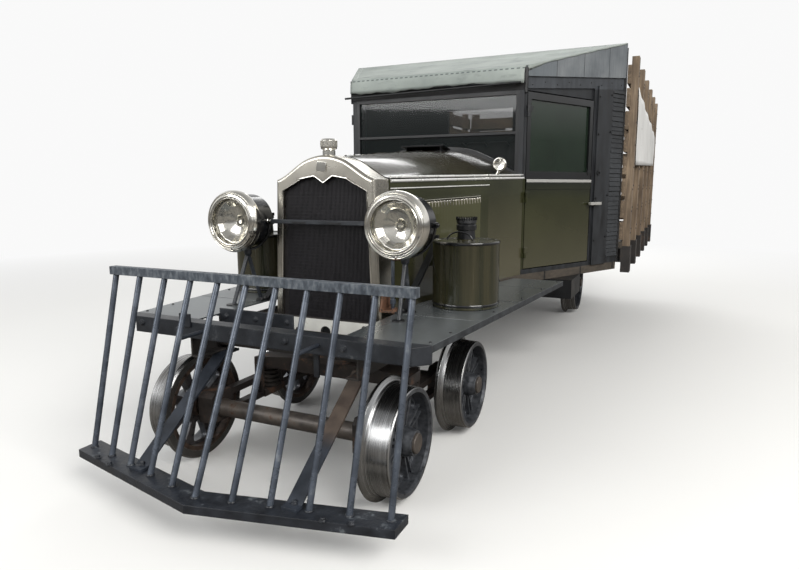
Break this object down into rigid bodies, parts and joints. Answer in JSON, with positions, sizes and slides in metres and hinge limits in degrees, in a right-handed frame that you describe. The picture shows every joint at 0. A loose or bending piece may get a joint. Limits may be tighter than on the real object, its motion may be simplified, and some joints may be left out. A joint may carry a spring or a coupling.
{
  "type": "narrow-gauge rail motor car",
  "caption": "Rail motor car: motor-car nose with radiator, drum lamps and hood on a four-wheel lead truck, slatted pilot, flared cab and stake-sided freight body.",
  "frame": {"origin": "centre of the bounding box at its bottom, level with the lowest points of the wheel flanges", "axes": "front towards -Y, left side towards +X, up +Z; the rail top is 25 mm above the origin"},
  "size_m": [2.132, 5.91, 2.069],
  "materials": {
    "cast_wheel": "worn steel with polished treads",
    "axle_steel": "dull rusty",
    "truck_iron": "rusty brown",
    "spring_steel": "dull",
    "frame_black": "satin black, worn",
    "worn_sheet": "semi-gloss black",
    "pilot_pipe": "faded grey-blue",
    "nickel": "warm bright plate",
    "core_black": "matt black",
    "apron_white": "faded white",
    "lamp_black": "gloss black",
    "lamp_glass": "clear, fluted",
    "clear_glass": "clear",
    "olive": "gloss dark olive",
    "bare_strip": "bright rod",
    "engine_grey": "matt",
    "roof_fabric": "weathered grey-green canvas",
    "grey_board": "weathered grey",
    "black_board": "black paint",
    "floor_wood": "worn boards",
    "stake_wood": "weathered tan",
    "seat_leather": "dark, worn"
  },
  "bodies": {
    "chassis": {"main_frame": "frame_black", "front_beam": "worn_sheet", "deck_plates": "worn_sheet", "pilot_plate": "worn_sheet", "pilot_bars": "pilot_pipe", "pilot_braces": "truck_iron", "radiator_shell": "nickel", "radiator_core": "core_black", "radiator_cap": "nickel", "radiator_apron": "apron_white", "headlamp_drums": "lamp_black", "headlamp_lenses": "lamp_glass", "lamp_mounts": "lamp_black", "water_tanks": "olive", "deck_straps": "frame_black", "hood_sides": "olive", "hood_hinge": "bare_strip", "engine_block": "engine_grey", "cowl": "olive", "cowl_vent": "lamp_black", "cowl_lamps": "nickel", "windshield_frame": "olive", "cab_glass": "clear_glass", "cab_sides": "olive", "bulkhead": "black_board", "cab_floor": "floor_wood", "cab_roof": "roof_fabric", "roof_side_boards": "grey_board", "visor": "black_board", "seat": "seat_leather", "side_boxes": "frame_black", "bed_frame": "frame_black", "bed_floor": "floor_wood", "side_racks": "stake_wood", "rear_suspension": "spring_steel"},
    "lead_truck": {"truck_side_frames": "truck_iron", "truck_springs": "spring_steel", "truck_bolster": "truck_iron"},
    "wheelset_front": {"wheels_front": "cast_wheel", "axle_front": "axle_steel"},
    "wheelset_second": {"wheels_second": "cast_wheel", "axle_second": "axle_steel"},
    "wheelset_rear": {"wheels_rear": "cast_wheel", "axle_rear": "axle_steel"},
    "left_door": {"door_left": "olive", "door_glass_left": "clear_glass"},
    "right_door": {"door_right": "olive", "door_glass_right": "clear_glass"},
    "left_hood_lid": {"hood_top_left": "olive"},
    "right_hood_lid": {"hood_top_right": "olive"},
    "left_gate": {"gate_left": "stake_wood"},
    "right_gate": {"gate_right": "stake_wood"}
  },
  "joints": [
    {"name": "truck_swing", "type": "hinge", "parent": "chassis", "child": "lead_truck", "pos_m": [0, -2.01, 0.405], "axis": [0, 0, 1], "range_deg": [-5, 5]},
    {"name": "front_wheels_roll", "type": "hinge", "parent": "lead_truck", "child": "wheelset_front", "pos_m": [0, -2.375, 0.231], "axis": [1, 0, 0], "continuous": true},
    {"name": "second_wheels_roll", "type": "hinge", "parent": "lead_truck", "child": "wheelset_second", "pos_m": [0, -1.645, 0.231], "axis": [1, 0, 0], "continuous": true},
    {"name": "rear_wheels_roll", "type": "hinge", "parent": "chassis", "child": "wheelset_rear", "pos_m": [0, 1.425, 0.28], "axis": [1, 0, 0], "continuous": true},
    {"name": "left_door_swing", "type": "hinge", "parent": "chassis", "child": "left_door", "pos_m": [0.56086, -0.80097, 1.105], "axis": [0, 0, -1], "range_deg": [0, 60]},
    {"name": "right_door_swing", "type": "hinge", "parent": "chassis", "child": "right_door", "pos_m": [-0.56086, -0.80097, 1.105], "axis": [0, 0, 1], "range_deg": [0, 60]},
    {"name": "left_hood_lid_lift", "type": "hinge", "parent": "chassis", "child": "left_hood_lid", "pos_m": [0, -1.555, 1.307], "axis": [0, -0.9972, -0.0747], "range_deg": [0, 55]},
    {"name": "right_hood_lid_lift", "type": "hinge", "parent": "chassis", "child": "right_hood_lid", "pos_m": [0, -1.555, 1.307], "axis": [0, 0.9972, 0.0747], "range_deg": [0, 55]},
    {"name": "left_gate_swing", "type": "hinge", "parent": "chassis", "child": "left_gate", "pos_m": [1, 2.861, 1.37], "axis": [0, 0, -1], "range_deg": [0, 100]},
    {"name": "right_gate_swing", "type": "hinge", "parent": "chassis", "child": "right_gate", "pos_m": [-1, 2.861, 1.37], "axis": [0, 0, 1], "range_deg": [0, 100]}
  ]
}
